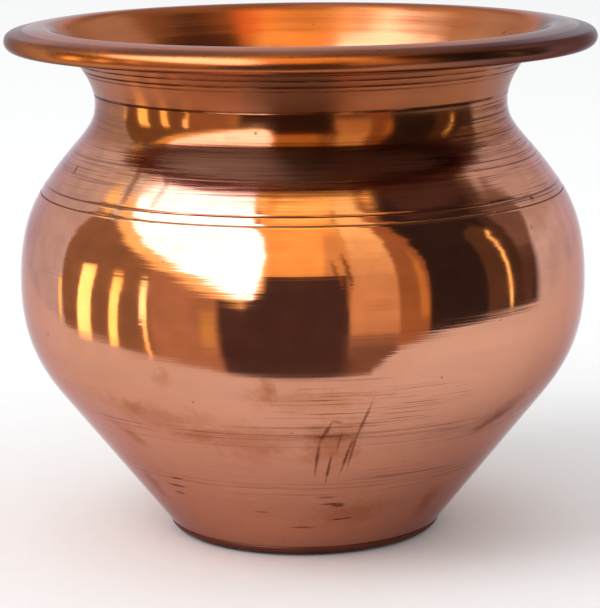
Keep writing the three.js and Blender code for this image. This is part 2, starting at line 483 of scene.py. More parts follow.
class Graph:
    """Adds nodes to one node tree and links them."""

    def __init__(self, tree: bpy.types.NodeTree) -> None:
        """Empties the tree.

        Args:
            tree: the node tree to fill.
        """
        self.tree = tree
        tree.nodes.clear()

    def add(self, kind: str, inputs: dict[str | int, object] | None = None, **settings: object) -> Node:
        """Adds a node.

        Args:
            kind: Blender's name of the node.
            inputs: values or sockets of its inputs.
            settings: its properties.

        Returns:
            The new node.
        """
        node = self.tree.nodes.new(kind)
        for name, value in settings.items():
            setattr(node, name, value)
        for name, value in (inputs or {}).items():
            self._fill(node.inputs[name], value)
        return node

    def _fill(self, socket: Socket, value: object) -> None:
        """Gives an input its value, or links it to the socket that has it.

        Args:
            socket: the input.
            value: a number, a colour, a vector or a socket.
        """
        if isinstance(value, bpy.types.NodeSocket):
            self.tree.links.new(value, socket)
        elif socket.type == "RGBA":
            socket.default_value = (*value, 1.0)
        else:
            socket.default_value = value

    def math(self, operation: str, *values: Value) -> Socket:
        """Result of a sum on one to three values."""
        return self.add("ShaderNodeMath", dict(enumerate(values)), operation=operation).outputs[0]

    def times(self, one: Value, other: Value) -> Socket:
        """Product of two values."""
        return self.math("MULTIPLY", one, other)

    def most(self, one: Value, other: Value) -> Socket:
        """Larger of two values."""
        return self.math("MAXIMUM", one, other)

    def turn(self, x: Socket, y: Socket) -> Socket:
        """Turn about the axis in radians, 0 towards the camera and growing to the right."""
        return self.math("ARCTAN2", x, self.times(y, -1.0))

    def ramp(
        self,
        value: Value,
        low: float,
        high: float,
        to_low: float = 0.0,
        to_high: float = 1.0,
    ) -> Socket:
        """Value mapped smoothly from one range to another."""
        inputs = {"Value": value, "From Min": low, "From Max": high, "To Min": to_low, "To Max": to_high}
        return self.add("ShaderNodeMapRange", inputs, interpolation_type="SMOOTHSTEP").outputs["Result"]

    def mix(self, share: Value, one: Tint, other: Tint, blend: str = "MIX") -> Socket:
        """Mixes two colours.

        Args:
            share: share of the second colour.
            one: first colour.
            other: second colour.
            blend: Blender's name of the way to mix them.

        Returns:
            The mixed colour.
        """
        node = self.add("ShaderNodeMix", {0: share, 6: one, 7: other}, data_type="RGBA", blend_type=blend)
        return node.outputs[2]

    def toned(self, colour: Tint, tone: Socket) -> Socket:
        """A colour made lighter or darker by a tone."""
        return self.mix(1.0, colour, self.vector(tone, tone, tone), "MULTIPLY")

    def noise(self, vector: Socket, grain: Grain, w: Value | None = None) -> Socket:
        """Adds noise between 0 and 1.

        Args:
            vector: where it is read.
            grain: how it looks.
            w: place in the fourth dimension, where there is one.

        Returns:
            The noise.
        """
        inputs = {"Vector": vector, "Scale": grain.cells, "Detail": grain.detail, "Roughness": grain.rough}
        if w is None:
            return self.add("ShaderNodeTexNoise", inputs).outputs[0]
        return self.add("ShaderNodeTexNoise", {**inputs, "W": w}, noise_dimensions="4D").outputs[0]

    def vector(self, x: Value, y: Value, z: Value) -> Socket:
        """Three values as a vector."""
        return self.add("ShaderNodeCombineXYZ", {0: x, 1: y, 2: z}).outputs[0]


class MarkKind(Enum):
    """What a mark on the metal is; one kind is painted shade and painted reflection."""

    # painted shade and painted reflection: an even change of colour that stands in for light
    PAINTED_SHADE_AND_REFLECTION = "even darkening"
    STAIN = "soft brown stain"
    SMEAR = "dark brown smear"
    GRIME = "dark dash of dirt"
    SCUFF = "bundle of dark turned scratches"


@dataclass(frozen=True)
class Mark:
    """A mark on the outer face: where it is, its half sizes and how it leans."""

    kind: MarkKind
    azimuth: float
    height: float
    half_width: float
    half_height: float
    lean: float = 0.0
    strength: float = 1.0


@dataclass(frozen=True)
class Brushing:
    """Fine rings left by turning and polishing, as noise drawn out round the axis."""

    across: float
    around: float
    relief: float
    dirt: float = 0.0


@dataclass(frozen=True)
class Fade:
    """Change of a finish with height: full at one height, gone at the other."""

    full: float
    gone: float
    tint: Colour
    roughness: float = 0.0


UNROLLED_RADIUS = 45.0

# Grains of the noise, the ranges of it in which wear comes in, and what wear does to the metal
RING_GRAIN = Grain(1.0, 2.0, 0.6)
BLOTCH_GRAIN = Grain(42.0, 6.0, 0.62)
SPECK_GRAIN = Grain(520.0, 2.0, 0.5)
WORN_LINE_GRAIN = Grain(70.0, 3.0, 0.6)
STREAKS = (260.0, 30.0)
STREAK_SHARE = 0.4
STREAK_TONES = (0.3, 0.7, 0.92, 1.04)
RINGS_WITH_DIRT = (0.6, 0.74)
RINGS_WITH_SCRATCHES = (0.53, 0.63)
STAINED = (0.46, 0.64)
SPECKED = (0.735, 0.78)
WORN_LINE = (0.32, 0.55)
LINE_CORE, LINE_EDGE = 0.06 * MM, 0.2 * MM
MARK_CORE, MARK_EDGE = 0.9, 1.8
RAGGED_EDGES = {
    MarkKind.STAIN: (Grain(300.0, 6.0, 0.75), 1.8),
    MarkKind.SMEAR: (Grain(800.0, 4.0, 0.75), 1.3),
    MarkKind.GRIME: (Grain(900.0, 3.0, 0.7), 1.2),
    MarkKind.SCUFF: (Grain(180.0, 3.0, 0.6), 1.1),
}
STREAK_ROUGHNESS = 0.05
STAIN_ROUGHNESS = 0.14
DIRT_ROUGHNESS = 0.2
ALONG_THE_RINGS = 0.25


@dataclass(frozen=True)
class Surface:
    """Where a point of a turned face lies, as sockets of its material's nodes."""

    graph: Graph
    place: Socket
    x: Socket
    y: Socket
    z: Socket
    radius: Socket

    @classmethod
    def read(cls, graph: Graph) -> "Surface":
        """Reads the object coordinates.

        Args:
            graph: the material's nodes.

        Returns:
            The place of the point.
        """
        place = graph.add("ShaderNodeTexCoord").outputs["Object"]
        x, y, z = graph.add("ShaderNodeSeparateXYZ", {0: place}).outputs
        square = graph.math("ADD", graph.times(x, x), graph.times(y, y))
        return cls(graph, place, x, y, z, graph.math("SQRT", square))

    def noise(self, grain: Grain) -> Socket:
        """Even noise between 0 and 1."""
        return self.graph.noise(self.place, grain)

    def rings(self, across: float, around: float) -> Socket:
        """Adds noise that is drawn out into rings about the axis.

        Args:
            across: how many noise cells to a metre across the rings.
            around: how many to a metre along them.

        Returns:
            Noise between 0 and 1.
        """
        times = self.graph.times
        vector = self.graph.vector(times(self.radius, across), times(self.z, across), times(self.x, around))
        return self.graph.noise(vector, RING_GRAIN, times(self.y, around))

    def unrolled(self) -> Socket:
        """The outer face laid flat: distance round it and height, in metres."""
        turn = self.graph.turn(self.x, self.y)
        return self.graph.vector(self.graph.times(turn, UNROLLED_RADIUS * MM), self.z, 0.0)


@dataclass(frozen=True)
class MetalFinish:
    """Procedural finish of a turned metal face."""

    name: str
    metal: Colour
    roughness: float
    anisotropy: float
    brushings: tuple[Brushing, ...]
    tarnish: Colour = (0.45, 0.15, 0.06)
    # colour of smears, and also of the painted shade and painted reflection marks
    smear: Colour = (0.2, 0.058, 0.026)
    grime: Colour = (0.1, 0.03, 0.016)
    edge: Colour = (0.72, 0.62, 0.66)
    tarnished: float = 0.3
    specks: float = 0.5
    marks: tuple[Mark, ...] = ()
    fade: Fade | None = None
    dirty_lines: tuple[tuple[float, float], ...] = ()

    def material(self) -> bpy.types.Material:
        """Mixes the finish.

        Returns:
            Its material.
        """
        material = bpy.data.materials.new(self.name)
        material.use_nodes = True
        graph = Graph(material.node_tree)
        surface = Surface.read(graph)
        relief, lines, scratches = self._brush(surface)
        streak = surface.rings(*STREAKS)
        masks = self._marks(surface)
        stain = graph.most(self._patina(surface, streak), masks[MarkKind.STAIN])
        # smears and the painted shade and reflection marks both take the smear colour
        smear = graph.most(masks[MarkKind.SMEAR], masks[MarkKind.PAINTED_SHADE_AND_REFLECTION])
        dirt = graph.most(lines, graph.ramp(surface.noise(SPECK_GRAIN), *SPECKED, 0.0, self.specks))
        scuff = graph.times(scratches, masks[MarkKind.SCUFF])
        dirt = graph.most(dirt, graph.most(scuff, masks[MarkKind.GRIME]))
        dirt = self._dirty_lines(surface, dirt)

        colour = graph.mix(stain, self.metal, self.tarnish)
        colour = graph.mix(smear, colour, self.smear)
        colour = graph.mix(dirt, colour, self.grime)
        colour = graph.toned(colour, graph.ramp(streak, *STREAK_TONES))
        rough = graph.math("MULTIPLY_ADD", streak, STREAK_ROUGHNESS, graph.times(stain, STAIN_ROUGHNESS))
        rough = graph.math("MULTIPLY_ADD", dirt, DIRT_ROUGHNESS, rough)
        rough = graph.math("ADD", rough, self.roughness - STREAK_ROUGHNESS / 2)
        if self.fade:
            share = graph.ramp(surface.z, self.fade.gone * MM, self.fade.full * MM)
            colour = graph.mix(share, colour, graph.mix(1.0, colour, self.fade.tint, "MULTIPLY"))
            rough = graph.math("MULTIPLY_ADD", share, self.fade.roughness, rough)
        self._coat(graph, colour, rough, relief)
        return material

    def _brush(self, surface: Surface) -> tuple[Value, Value, Value]:
        """Draws the rings of every brushing.

        Args:
            surface: place of the point.

        Returns:
            Relief in millimetres, and shares of dark lines and of scratches.
        """
        graph = surface.graph
        relief, lines, scratches = 0.0, 0.0, 0.0
        for brushing in self.brushings:
            rings = surface.rings(brushing.across, brushing.around)
            relief = graph.math("MULTIPLY_ADD", rings, brushing.relief, relief)
            if brushing.dirt:
                lines = graph.most(lines, graph.ramp(rings, *RINGS_WITH_DIRT, 0.0, brushing.dirt))
                scratches = graph.most(scratches, graph.ramp(rings, *RINGS_WITH_SCRATCHES))
        return relief, lines, scratches

    def _patina(self, surface: Surface, streak: Socket) -> Socket:
        """Draws the tarnish that lies all over the face.

        Args:
            surface: place of the point.
            streak: noise of the broad streaks.

        Returns:
            Share of tarnish.
        """
        graph = surface.graph
        blotch = graph.times(surface.noise(BLOTCH_GRAIN), 1 - STREAK_SHARE)
        patina = graph.math("MULTIPLY_ADD", streak, STREAK_SHARE, blotch)
        return graph.ramp(patina, *STAINED, 0.0, self.tarnished)

    def _dirty_lines(self, surface: Surface, dirt: Socket) -> Socket:
        """Adds the dirt that is caught in turned lines.

        Args:
            surface: place of the point.
            dirt: share of dirt without it.

        Returns:
            Share of dirt with it.
        """
        graph = surface.graph
        wear = graph.ramp(surface.noise(WORN_LINE_GRAIN), *WORN_LINE)
        for height, share in self.dirty_lines:
            beside = graph.math("ABSOLUTE", graph.math("SUBTRACT", surface.z, height * MM))
            line = graph.times(graph.ramp(beside, LINE_CORE, LINE_EDGE, share, 0.0), wear)
            dirt = graph.most(dirt, line)
        return dirt

    def _marks(self, surface: Surface) -> dict[MarkKind, Value]:
        """Draws the marks, with edges broken up by noise, but the painted shade and reflection keep even
        edges.

        Args:
            surface: place of the point.

        Returns:
            Share of each kind of mark between 0 and 1.
        """
        masks: dict[MarkKind, Value] = {kind: 0.0 for kind in MarkKind}
        if not self.marks:
            return masks
        graph = surface.graph
        unrolled = surface.unrolled()
        # the painted shade and reflection marks keep smooth edges
        ragged: dict[MarkKind, Value] = {MarkKind.PAINTED_SHADE_AND_REFLECTION: 0.0}
        for kind, (grain, depth) in RAGGED_EDGES.items():
            ragged[kind] = graph.times(surface.noise(grain), depth)
        for mark in self.marks:
            spot = (math.radians(mark.azimuth) * UNROLLED_RADIUS * MM, mark.height * MM, 0.0)
            inputs = {
                "Vector": unrolled,
                "Location": spot,
                "Rotation": (0.0, 0.0, math.radians(mark.lean)),
                "Scale": (mark.half_width * MM, mark.half_height * MM, 1.0),
            }
            local = graph.add("ShaderNodeMapping", inputs, vector_type="TEXTURE").outputs[0]
            length = graph.add("ShaderNodeVectorMath", {0: local}, operation="LENGTH").outputs["Value"]
            reach = graph.math("ADD", length, ragged[mark.kind])
            mask = graph.ramp(reach, MARK_CORE, MARK_EDGE, mark.strength, 0.0)
            masks[mark.kind] = graph.most(masks[mark.kind], mask)
        return masks

    def _coat(self, graph: Graph, colour: Socket, rough: Socket, relief: Value) -> None:
        """Adds the metal itself, brushed along its rings.

        Args:
            graph: the material's nodes.
            colour: colour of the metal.
            rough: its roughness.
            relief: its relief, in millimetres.
        """
        bump = graph.add("ShaderNodeBump", {"Strength": 1.0, "Distance": MM, "Height": relief})
        tangent = graph.add("ShaderNodeTangent", direction_type="RADIAL", axis="Z")
        shader = graph.add(
            "ShaderNodeBsdfPrincipled",
            {
                "Base Color": colour,
                "Metallic": 1.0,
                "Roughness": rough,
                "Anisotropic": self.anisotropy,
                "Anisotropic Rotation": ALONG_THE_RINGS,
                "Specular Tint": self.edge,
                "Normal": bump.outputs[0],
                "Tangent": tangent.outputs[0],
            },
        )
        graph.add("ShaderNodeOutputMaterial", {"Surface": shader.outputs[0]})


# Sub-assemblies


@dataclass
class Piece:
    """A finished piece and what it stands for."""

    shape: bpy.types.Object
    node: str
    slot: str

    def fit(
        self,
        finishes: tuple[MetalFinish, ...],
        zone: Callable[[Vector, Vector], MetalFinish] | None = None,
    ) -> None:
        """Dresses the piece and puts it in the frame.

        Args:
            finishes: its finishes.
            zone: says which of them a face has, from its middle and its normal.
        """
        mesh = self.shape.data
        mesh.materials.clear()
        for finish in finishes:
            mesh.materials.append(finish.material())
        if zone:
            for face in mesh.polygons:
                face.material_index = finishes.index(zone(face.center / MM, face.normal))
        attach(self.shape, "root")
        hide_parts(self.node)
        faces = len(mesh.polygons)
        log.info("%s stands for %s with %d faces", self.shape.name, self.node, faces)


@dataclass
class MouthAndNeck:
    """Upper shell: shoulder, neck, flared mouth and the lip that is rolled round a wire."""

    wall: Wall
    spinner: Spinner
    lines: tuple[TurnedLine, ...] = (
        TurnedLine(61.9, 0.34, 0.1),
        TurnedLine(77.2, 0.3, 0.09),
        TurnedLine(81.5, 0.34, 0.12),
        TurnedLine(82.6, 0.3, 0.09),
    )
    ripple: Ripple = Ripple(0.014, (1.7, 2.9, 4.3), 5)
    mouth_ripple: Ripple = Ripple(-0.015, (2.3, 3.1), 8)
    roll_spacing: float = 0.18
    bead_spacing: float = 0.1
    edge_round: float = 0.08
    neck_line: float = 77.2
    underside_radius: float = 41.5
    lip_start: float = 3.4
    facing_up: float = 0.05
    facing_out: float = 0.3
    pieces: list[Piece] = field(default_factory=list)

    def build(self) -> None:
        """Spins the shell and the wire in its lip."""
        wall = self.wall
        start = wall.starts[Stretch.SHOULDER]
        neck = wall.starts[Stretch.NECK]
        roll = wall.starts[Stretch.ROLL]
        end = wall.outline.length
        outside = Face(wall, start, roll, lines=self.lines, ripple=self.ripple).points()
        inside_roll = Face(wall, roll, end, spacing=self.roll_spacing).points()[1:]
        bead = Face(wall, roll, end, -wall.thickness, self.bead_spacing).points()[::-1]
        mouth = Face(wall, neck, roll, -wall.thickness, ripple=self.mouth_ripple).points()[::-1]
        under = Face(wall, start, neck, -wall.thickness, INSIDE_SPACING).points()[::-1]
        profile = [*outside, *inside_roll, *bead, *mouth[1:], *under[1:], outside[0]]
        shell = self.spinner.spin("mouth_and_neck", profile, self.edge_round)
        turns = np.linspace(0, FULL_TURN, WIRE_POINTS)
        ring = [wall.roll_centre + wall.wire_radius * heading(turn) for turn in turns]
        wire = self.spinner.spin("lip_wire", ring)
        self.pieces = [
            Piece(shell, "mouth_and_neck_shell", "spun_copper"),
            Piece(wire, "rim_wire", "copper_wire"),
        ]

    def dress(self) -> None:
        """Gives the shell and the wire their finishes."""
        shell, wire = self.pieces
        shell.fit((SHOULDER, NECK, UNDERSIDE_IN_PAINTED_SHADE, LIP, MOUTH), self._zone)
        wire.fit((DRAWN_WIRE,))

    def _zone(self, middle: Vector, normal: Vector) -> MetalFinish:
        """Chooses the finish of a face of the shell.

        Args:
            middle: middle of the face, in millimetres.
            normal: where the face looks.

        Returns:
            Finish of the shoulder, neck, underside, lip or mouth.
        """
        radius = math.hypot(middle.x, middle.y)
        outward = (middle.x * normal.x + middle.y * normal.y) / radius
        if radius > self.wall.crown[0] + self.lip_start:
            return LIP
        if normal.z > self.facing_up and outward < self.facing_out or outward < -self.facing_out:
            return MOUTH
        if middle.z < self.neck_line:
            return SHOULDER
        return NECK if radius < self.underside_radius else UNDERSIDE_IN_PAINTED_SHADE


@dataclass
class Belly:
    """Lower shell: taper, belly and lower shoulder, with the collar under the upper shell."""

    wall: Wall
    spinner: Spinner
    lap: Lap
    lines: tuple[TurnedLine, ...] = (
        TurnedLine(12.95, 0.3, 0.02),
        TurnedLine(14.8, 0.3, 0.022),
        TurnedLine(23.6, 0.34, 0.024),
        TurnedLine(26.1, 0.34, 0.028),
    )
    ripple: Ripple = Ripple(0.016, (1.9, 3.1, 5.3), 3)
    inside_ripple: Ripple = Ripple(-0.02, (2.9, 4.1), 9)
    edge_round: float = 0.08
    pieces: list[Piece] = field(default_factory=list)

    def build(self) -> None:
        """Spins the shell and the braze of its shoulder seam."""
        wall, lap = self.wall, self.lap
        seam = wall.starts[Stretch.SHOULDER]
        edge = seam - lap.gap
        outer, inner = lap.collar_faces(wall)
        outside = Face(wall, 0, edge, lines=self.lines, ripple=self.ripple).points()
        collar_out = Face(wall, edge, seam + lap.length, outer, COLLAR_SPACING).points()
        collar_in = Face(wall, edge, seam + lap.length, inner, COLLAR_SPACING).points()[::-1]
        step = edge - lap.joggle
        inside = Face(wall, 0, step, -wall.thickness, INSIDE_SPACING, ripple=self.inside_ripple)
        profile = [*outside, *collar_out, *collar_in, *inside.points()[::-1], outside[0]]
        shell = self.spinner.spin("belly", profile, self.edge_round)
        braze = braze_ring("shoulder_braze", wall, lap, seam, self.spinner)
        self.pieces = [
            Piece(shell, "belly_shell", "polished_copper"),
            Piece(braze, "shoulder_seam_braze", "braze_alloy"),
        ]

    def dress(self) -> None:
        """Gives the shell and the braze their finishes."""
        shell, braze = self.pieces
        shell.fit((BELLY, HOLLOW), self._zone)
        braze.fit((BRAZE_ALLOY,))

    def _zone(self, middle: Vector, normal: Vector) -> MetalFinish:
        """Chooses the finish of a face of the shell.

        Args:
            middle: middle of the face, in millimetres.
            normal: where the face looks.

        Returns:
            Finish of the polished outside or of the plain inside.
        """
        return BELLY if middle.x * normal.x + middle.y * normal.y > 0 else HOLLOW


@dataclass
class Base:
    """Base cap: flat underside, rounded edge and the collar inside the taper."""

    wall: Wall
    spinner: Spinner
    lap: Lap
    edge_round: float = 0.08
    pieces: list[Piece] = field(default_factory=list)

    def build(self) -> None:
        """Spins the cap and the braze of the base seam."""
        wall, lap = self.wall, self.lap
        outer, inner = lap.collar_faces(wall)
        edge_top = wall.outline.beside(-lap.gap, 0)
        flat = wall.foot_radius - wall.base_round_width
        width, height = edge_top[0] - flat, edge_top[1]
        rounded = [
            np.array([flat + width * math.sin(turn), height * (1 - math.cos(turn))])
            for turn in np.linspace(0, QUARTER_TURN, DISC_POINTS)
        ]
        under = [np.array([radius, 0.0]) for radius in np.linspace(0, flat, DISC_POINTS)]
        collar_out = Face(wall, -lap.gap, lap.length, outer, COLLAR_SPACING).points()
        collar_in = Face(wall, -lap.gap, lap.length, inner, COLLAR_SPACING).points()[::-1]
        foot = collar_in[-1]
        floor_radius = foot[0] - (foot[1] - wall.thickness) * math.tan(wall.taper_lean)
        floor = [np.array([radius, wall.thickness]) for radius in np.linspace(floor_radius, 0, DISC_POINTS)]
        profile = [*under, *rounded[1:], *collar_out, *collar_in[:-1], *floor]
        cap = self.spinner.spin("base", profile, self.edge_round)
        braze = braze_ring("base_braze", wall, lap, 0.0, self.spinner)
        self.pieces = [
            Piece(cap, "base_disc", "base_copper"),
            Piece(braze, "base_seam_braze", "braze_alloy"),
        ]

    def dress(self) -> None:
        """Gives the cap and the braze their finishes."""
        cap, braze = self.pieces
        cap.fit((BASE_COPPER,))
        braze.fit((BRAZE_ALLOY,))


def braze_ring(name: str, wall: Wall, lap: Lap, seam: float, spinner: Spinner) -> bpy.types.Object:
    """Makes the braze that fills a lap.

    Args:
        name: name of the piece.
        wall: the vessel's wall.
        lap: sizes of the lap.
        seam: distance along the wall at which the upper piece starts.
        spinner: what spins the profile.

    Returns:
        The braze ring.
    """
    collar_outer, collar_inner = lap.collar_faces(wall)
    outer, inner = -(wall.thickness + lap.fit), collar_outer + lap.fit
    collar_end = seam + lap.length + lap.fit
    low = seam + lap.fit - lap.gap
    fillet_top = wall.outline.beside(collar_end + lap.fillet, outer)
    fillet_foot = wall.outline.beside(collar_end, collar_inner)
    hollow = wall.outline.beside(
        collar_end + lap.fillet * lap.hollow_height_share,
        outer - wall.thickness * lap.hollow_depth_share,
    )
    profile = [
        wall.outline.beside(low, -lap.seam_depth),
        wall.outline.beside(seam - lap.fit, -lap.seam_depth),
        *Face(wall, seam - lap.fit, seam + lap.length, outer, COLLAR_SPACING).points(),
        fillet_top,
        hollow,
        fillet_foot,
        *Face(wall, low, collar_end, inner, COLLAR_SPACING).points()[::-1],
    ]
    return spinner.spin(name, [*profile, profile[0]])


# Studio


def block(left: float, right: float, low: float, high: float) -> Corners:
    """Corners of an upright rectangle."""
    return ((left, low), (right, low), (right, high), (left, high))


@dataclass(frozen=True)
class Panel:
    """A soft-edged panel of light or shade in the room, by its corners' directions.

    A direction is an azimuth, 0 towards the camera and growing to the right, and an elevation.
    """

    light: Colour
    corners: Corners
    soft: float = 2.5
    foot_light: Colour | None = None

    def paint(self, graph: Graph, azimuth: Socket, elevation: Socket, room: Tint) -> Socket:
        """Adds the panel to the room.

        Args:
            graph: the world's nodes.
            azimuth: azimuth of the direction, in degrees.
            elevation: elevation of the direction, in degrees.
            room: colour of the room so far.

        Returns:
            Colour of the room with the panel.
        """
        middle = np.mean(self.corners, axis=0)
        inside = RIGHT_ANGLE
        for here, there in zip(self.corners, self.corners[1:] + self.corners[:1]):
            normal = np.array([here[1] - there[1], there[0] - here[0]], dtype=float)
            normal /= np.hypot(*normal)
            reach = normal @ here
            if normal @ middle < reach:
                normal, reach = -normal, -reach
            side = graph.math("MULTIPLY_ADD", elevation, float(normal[1]), -float(reach))
            side = graph.math("MULTIPLY_ADD", azimuth, float(normal[0]), side)
            inside = graph.math("MINIMUM", inside, side)
        light = self.light
        if self.foot_light:
            heights = [corner[1] for corner in self.corners]
            rise = graph.ramp(elevation, min(heights), max(heights))
            light = graph.mix(rise, self.foot_light, self.light)
        return graph.mix(graph.ramp(inside, -self.soft / 2, self.soft / 2), room, light)


BEHIND_THE_VESSEL = (
    Panel((0.74, 0.74, 0.76), block(112, 184, 12, 42), 8),
    Panel((1.3, 1.4, 1.7), block(-184, -162, 12, 24), 8),
    Panel((1.2, 1.3, 1.5), block(166, 184, 12, 24), 8),
    Panel((0.42, 0.3, 0.2), block(104, 184, 44, 76), 8),
    Panel((0.5, 0.5, 0.55), block(152, 184, 26, 60), 8),
    Panel((0.62, 0.66, 0.8), block(-184, -152, 26, 60), 8),
)
OVERHEAD = (Panel((2.2, 1.6, 0.5), ((-62, 60), (50, 60), (52, 77), (-64, 77)), 6),)
LEFT_WALL = (
    Panel((0.42, 0.28, 0.16), ((-112, -40), (-60, -40), (-60, 45), (-112, 31)), 2),
    Panel((0.66, 0.4, 0.23), ((-63, -40), (-28, -40), (-26, 4), (-45, 12), (-63, 20)), 3),
    Panel((0.95, 0.62, 0.2), block(-41, -35, -19, -5), 4),
    Panel((1.2, 1.5, 1.6), ((-114, 35), (-100, 33), (-90, 36), (-88, 62), (-112, 56)), 2),
    Panel((2.0, 1.75, 0.72), ((-116, 32), (-106, 32), (-104, 37), (-114, 38)), 2),
)
MIDDLE_WALL = (
    Panel((1.7, 1.0, 0.28), ((-26, 7), (22, 7), (22, 45), (14, 68), (-48, 68), (-34, 45), (-26, 30))),
    Panel((1.15, 0.7, 0.26), ((8, 8), (20, -6), (22, -6), (22, 50), (10, 50)), 2),
    Panel((2.2, 1.5, 0.5), block(-18, 16, 58, 70), 6),
    Panel((0.1, 0.062, 0.06), block(-34, 18, -60, 15.5), 4),
)
WINDOW_AND_THIN_STROKES = (
    Panel(
        (2.1, 1.55, 0.6),
        ((-103, 37), (-76, 21), (-47, 7), (-24, -2), (-16, 7), (-15, 26), (-20, 46), (-42, 69), (-96, 68)),
        4,
    ),
    Panel((0.5, 0.38, 0.28), ((-104, 36), (-101.5, 37.5), (-114, 46), (-117, 44)), 1),
    Panel((2.0, 2.1, 1.3), block(-128, -84, 66, 82), 4),
    Panel((0.34, 0.14, 0.06), ((11, 24), (12.3, 24), (16.5, 8), (15, 8)), 1),
    Panel((0.28, 0.15, 0.08), ((15.6, 30), (17.4, 30), (20.5, 8), (18.7, 8)), 1),
    Panel(
        (4.4, 4.6, 5.4),
        (
            *((-100, 42), (-74, 28), (-47, 13), (-25, 2), (-20, 2)),
            *((-17, 12), (-16, 30), (-20, 46), (-38, 66), (-92, 66)),
        ),
        2,
    ),
    Panel((1.1, 1.4, 1.6), ((-89, 42.5), (-86.5, 43.5), (-93.5, 52), (-96, 51)), 1),
)
BRIGHT_STRIP = (
    Panel((1.7, 1.4, 0.62), ((20, -3), (42, -3), (43, 30), (40, 64), (20, 64)), 1.5, (1.0, 0.62, 0.3)),
    Panel((1.1, 0.7, 0.34), block(18, 41, -28, -3), 1.5, (0.3, 0.19, 0.14)),
    Panel((0.28, 0.17, 0.13), block(18, 52, -60, -16), 9),
    Panel((0.5, 0.25, 0.1), ((38.6, -28), (51, -22), (51, 18), (44, 64), (36.5, 64)), 1.5),
    Panel((0.85, 0.45, 0.12), ((47, -8), (50.5, -8), (48, 30), (43, 50), (41, 50), (45.5, 30)), 1.5),
)
RIGHT_WALL = (
    Panel((0.14, 0.085, 0.05), ((79, -14), (94, -12), (94, 26), (84, 34), (76, 30)), 2),
    Panel((0.1, 0.06, 0.045), block(92, 101, -14, 40), 2),
    Panel((0.25, 0.17, 0.14), ((98, -12), (104, -10), (107, 10), (98, 40)), 3, (0.13, 0.08, 0.06)),
    Panel((0.27, 0.19, 0.16), ((98, 10), (107, 10), (118, 28), (114, 38), (98, 38)), 3),
    Panel((2.6, 2.1, 0.8), ((87, 26), (88.6, 26), (91.8, -9), (90.3, -9)), 0.8),
    Panel((0.1, 0.055, 0.045), ((60, 48), (104, 42), (104, 60), (90, 63), (75, 68), (58, 66)), 3),
    Panel((1.6, 0.5, 0.15), ((46, 64), (58, 66), (80, 72), (80, 84), (46, 84)), 5),
)
NARROW_BARS = (
    Panel((4.2, 3.3, 1.3), ((-104.8, -22), (-96.6, -22), (-90.6, 5.5), (-98.3, 4.3)), 1),
    Panel((3.9, 2.9, 1.0), ((-85.5, -20), (-81.2, -20), (-75.8, 4.8), (-80.5, 4.4)), 1),
    Panel((4.4, 3.5, 1.9), ((-68, -10), (-64.6, -9.5), (-64.2, 5.3), (-66.9, 4.1)), 0.8),
    Panel((3.2, 2.2, 0.9), ((-67.2, -28), (-66, -28), (-64.8, -9.5), (-66.6, -9.5)), 0.8),
    Panel((2.4, 1.9, 0.6), ((-115.4, -13), (-113.6, -13), (-112, -3), (-114.2, -3)), 1),
)


